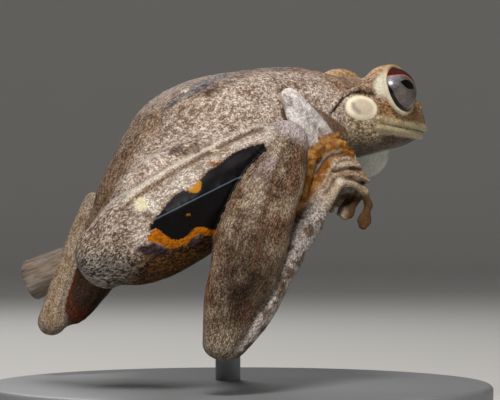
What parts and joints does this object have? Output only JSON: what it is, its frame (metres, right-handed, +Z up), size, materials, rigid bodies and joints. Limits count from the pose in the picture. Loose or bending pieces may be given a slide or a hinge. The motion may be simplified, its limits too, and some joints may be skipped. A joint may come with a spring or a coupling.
{
  "type": "western laughing tree frog",
  "caption": "Life-size western laughing tree frog crouched across a cut twig, hind legs folded, on a plain round display stand.",
  "frame": {"origin": "centre of the underside of the round stand base", "axes": "+Z up, +X the way the frog's head points, +Y to the frog's left"},
  "size_m": [0.056, 0.0577, 0.0393],
  "materials": {
    "back_skin": "moist granular skin, semi-matt",
    "limb_skin": "moist granular skin, semi-matt",
    "digit_skin": "smooth moist skin, satin",
    "throat_skin": "thin folded skin, satin",
    "eye_gloss": "wet gloss",
    "bark": "weathered twig bark, matt",
    "stand_paint": "satin grey paint",
    "stand_steel": "brushed"
  },
  "bodies": {
    "root": {"torso": "back_skin", "head": "back_skin", "lower_jaw": "throat_skin", "eye_right": "eye_gloss", "eye_left": "eye_gloss", "thigh_right": "limb_skin", "thigh_left": "limb_skin", "shank_right": "limb_skin", "shank_left": "limb_skin", "tarsus_right": "limb_skin", "tarsus_left": "limb_skin", "foot_right": "digit_skin", "foot_left": "digit_skin", "upper_arm_right": "limb_skin", "upper_arm_left": "limb_skin", "forearm_right": "limb_skin", "forearm_left": "limb_skin", "hand_right": "digit_skin", "hand_left": "digit_skin", "perch": "bark", "stand_rod": "stand_steel", "stand_base": "stand_paint"}
  },
  "joints": []
}
